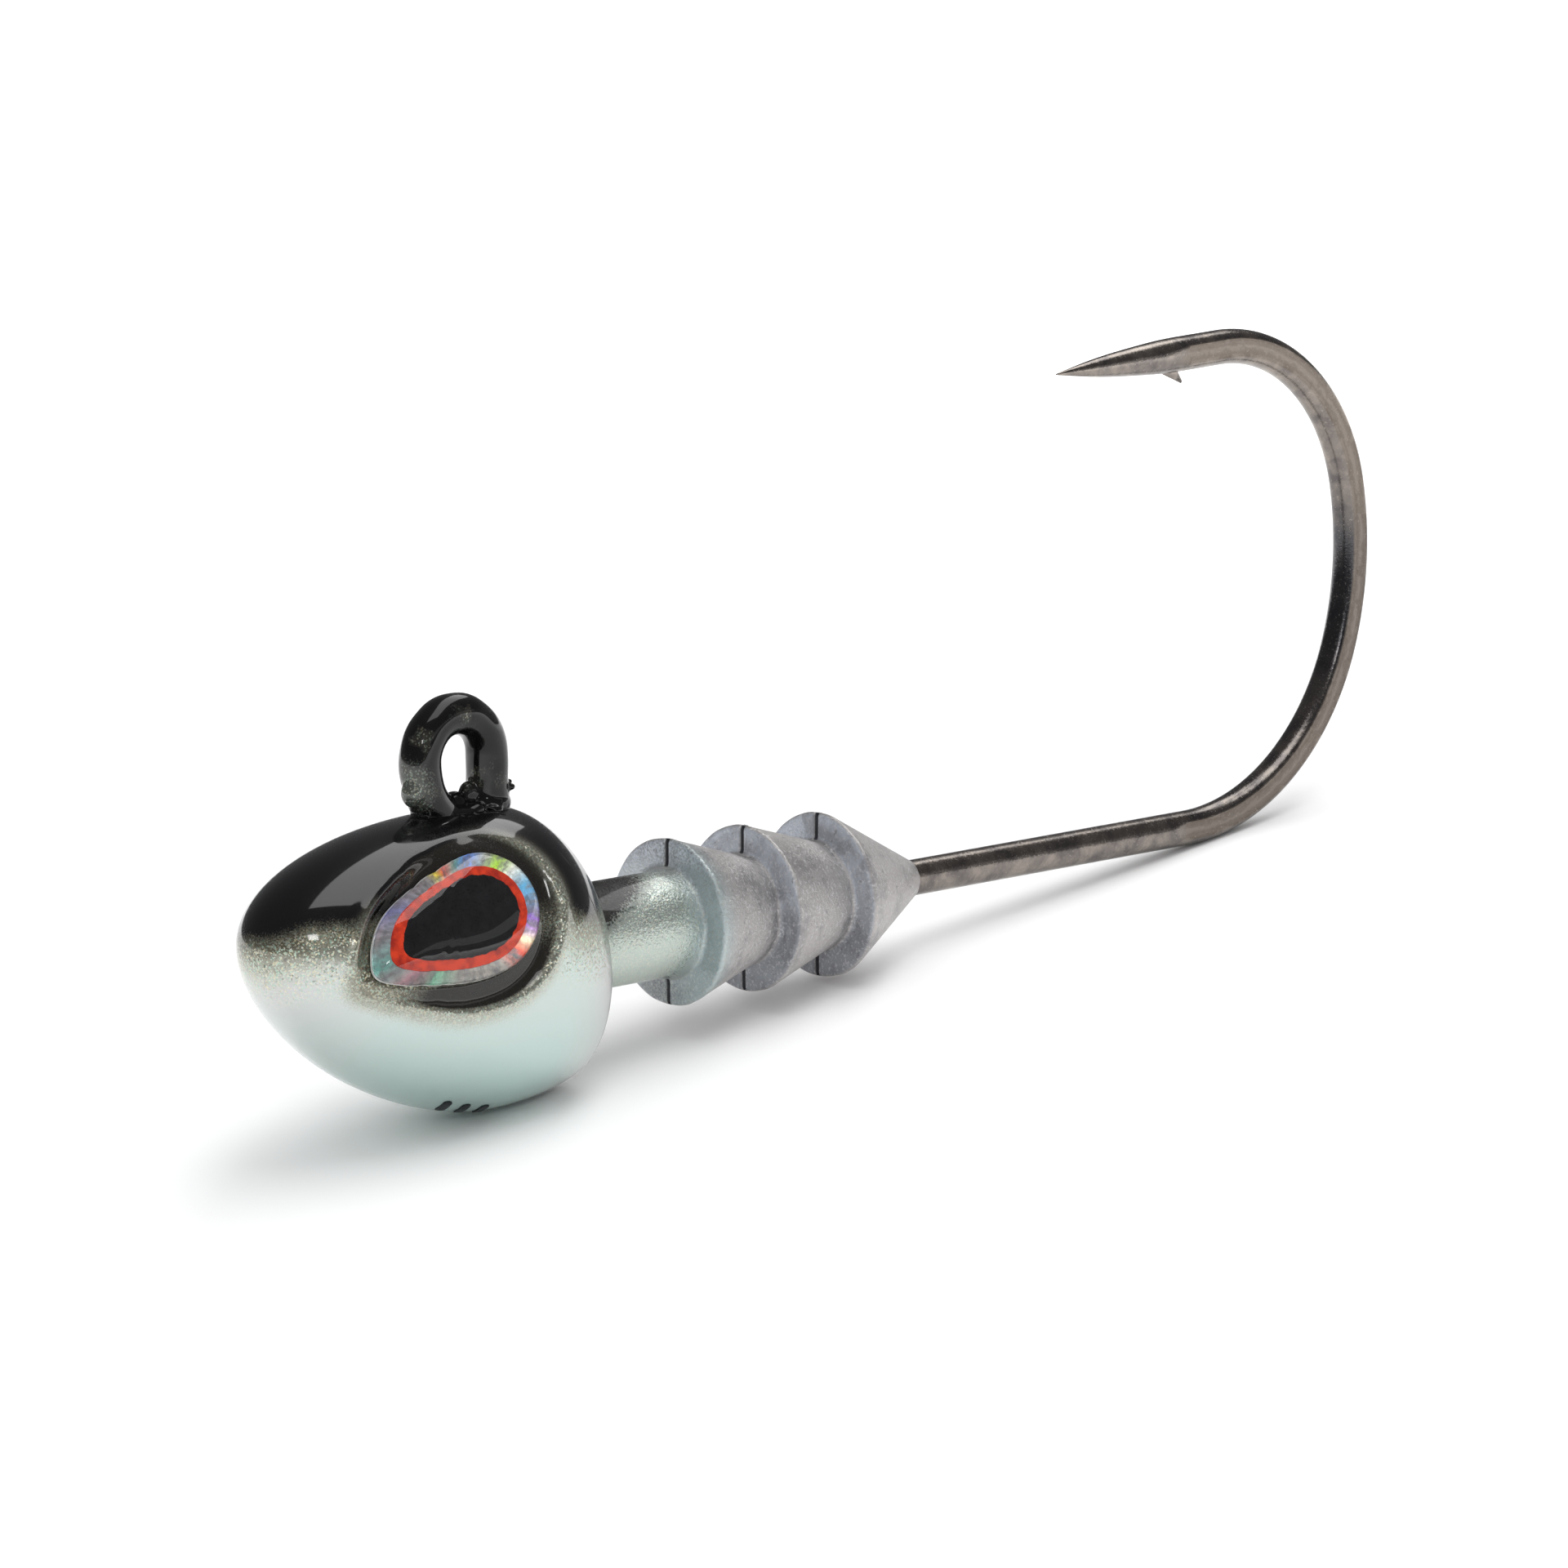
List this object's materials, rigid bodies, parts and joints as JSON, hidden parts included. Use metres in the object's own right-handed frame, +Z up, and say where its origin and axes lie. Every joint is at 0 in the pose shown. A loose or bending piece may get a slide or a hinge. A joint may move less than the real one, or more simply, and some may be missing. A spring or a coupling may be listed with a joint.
{
  "type": "jig head",
  "caption": "Painted fishing jig head cast on a barbed hook, with a raised line tie, domed teardrop eyes and a sawtooth soft-bait keeper behind the head.",
  "frame": {"origin": "on the surface the jig stands on, under the middle of its bounding box", "axes": "+Z up, +X along the jig from the nose towards the hook's bend, the shank's own line falling 7.4 degrees towards the bend, and Y across, square to the hook's plane"},
  "size_m": [0.0564, 0.0096, 0.0195],
  "materials": {
    "hook_steel": "black nickel",
    "cast_alloy": "as cast",
    "lacquer": "gloss",
    "eye_adhesive": "matte",
    "eye_foil": "holographic foil",
    "iris_ink": "gloss",
    "pupil_ink": "gloss",
    "eye_resin": "clear doming resin",
    "mark_ink": "gloss"
  },
  "bodies": {
    "root": {"casting": "cast_alloy", "eye_adhesive_left": "eye_adhesive", "eye_adhesive_right": "eye_adhesive", "eye_dome_left": "eye_resin", "eye_dome_right": "eye_resin", "eye_foil_left": "eye_foil", "eye_foil_right": "eye_foil", "eye_iris_left": "iris_ink", "eye_iris_right": "iris_ink", "eye_pupil_left": "pupil_ink", "eye_pupil_right": "pupil_ink", "head_lacquer": "lacquer", "hook": "hook_steel", "line_tie_lacquer": "lacquer", "size_mark": "mark_ink"}
  },
  "joints": []
}
